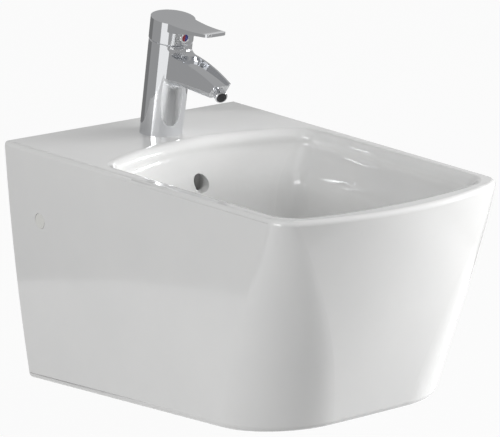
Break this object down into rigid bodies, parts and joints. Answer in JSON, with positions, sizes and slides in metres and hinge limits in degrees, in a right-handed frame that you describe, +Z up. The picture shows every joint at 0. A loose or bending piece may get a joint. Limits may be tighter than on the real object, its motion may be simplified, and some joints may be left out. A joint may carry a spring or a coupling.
{
  "type": "wall-hung bidet",
  "caption": "Wall-hung white ceramic bidet with a chrome single-lever tap, swivel aerator, overflow, push-open waste and side-screwed wall fixing.",
  "frame": {"origin": "on the wall plane, midway between the two wall studs", "axes": "+X to the right seen from the front, +Y towards the wall, +Z up"},
  "size_m": [0.3594, 0.5547, 0.463],
  "materials": {
    "ceramic": "gloss white glaze",
    "chrome": "polished",
    "brass": "machined",
    "steel": "zinc plated",
    "grey_plastic": "moulded",
    "white_plastic": "moulded",
    "black_plastic": "moulded",
    "black_rubber": "moulded",
    "disc_ceramic": "lapped",
    "red_blue_index": "two-colour enamel"
  },
  "bodies": {
    "bidet": {"ceramic_body": "ceramic", "wall_barrels": "grey_plastic", "barrel_inserts": "brass", "stud_washers": "steel", "stud_nuts": "steel", "side_washers": "steel", "side_screws": "steel", "side_caps": "white_plastic", "tap_body": "chrome", "base_seal": "black_rubber", "clamp_pad": "black_rubber", "clamp_plate": "steel", "tap_stud": "steel", "tap_nut": "brass", "cartridge_seals": "black_rubber", "cartridge_base": "grey_plastic", "fixed_disc": "disc_ceramic", "cartridge_housing": "grey_plastic", "cartridge_nut": "brass", "dome_cover": "chrome", "aerator_seal": "black_rubber", "aerator_collar": "chrome", "waste_body": "chrome", "waste_gasket": "black_rubber", "cone_gasket": "black_rubber", "waste_nut": "brass", "waste_tail": "chrome", "tail_seal": "black_rubber", "click_housing": "white_plastic", "click_spring": "steel"},
    "lever_turn": {"turning_carrier": "white_plastic", "pivot_pin": "steel"},
    "lever": {"lever_stem": "steel", "lever_handle": "chrome", "grub_screw": "steel", "index_bezel": "chrome", "index_button": "red_blue_index"},
    "disc": {"moving_disc": "disc_ceramic"},
    "aerator_tilt": {"swivel_seat": "white_plastic"},
    "aerator": {"swivel_nozzle": "chrome", "flow_insert": "black_plastic", "flow_screen": "black_plastic"},
    "plug": {"waste_plug": "chrome", "plug_seal": "black_rubber", "click_stem": "brass"}
  },
  "joints": [
    {"name": "lever_turn", "type": "hinge", "parent": "bidet", "child": "lever_turn", "pos_m": [0, -0.079, 0.09], "axis": [0, -0.1736, 0.9848], "range_deg": [-45, 45]},
    {"name": "lever_lift", "type": "hinge", "parent": "lever_turn", "child": "lever", "pos_m": [0, -0.09637, 0.18848], "axis": [-1, 0, 0], "range_deg": [0, 22]},
    {"name": "disc_slide", "type": "slide", "parent": "lever_turn", "child": "disc", "axis": [0, -0.9848, -0.1736], "range_m": [0, 0.00345]},
    {"name": "aerator_tilt", "type": "hinge", "parent": "bidet", "child": "aerator_tilt", "pos_m": [0, -0.19243, 0.16108], "axis": [1, 0, 0], "range_deg": [0, 38]},
    {"name": "aerator_turn", "type": "hinge", "parent": "aerator_tilt", "child": "aerator", "pos_m": [0, -0.19243, 0.16108], "axis": [0, -0.367, 0.9302], "range_deg": [-2, 34]},
    {"name": "plug_lift", "type": "slide", "parent": "bidet", "child": "plug", "axis": [0, 0, 1], "range_m": [0, 0.008], "deforming": ["click_spring"]}
  ],
  "couplings": [
    {"joint": "disc_slide", "follows": "lever_lift", "m_per_rad": 0.00894}
  ]
}
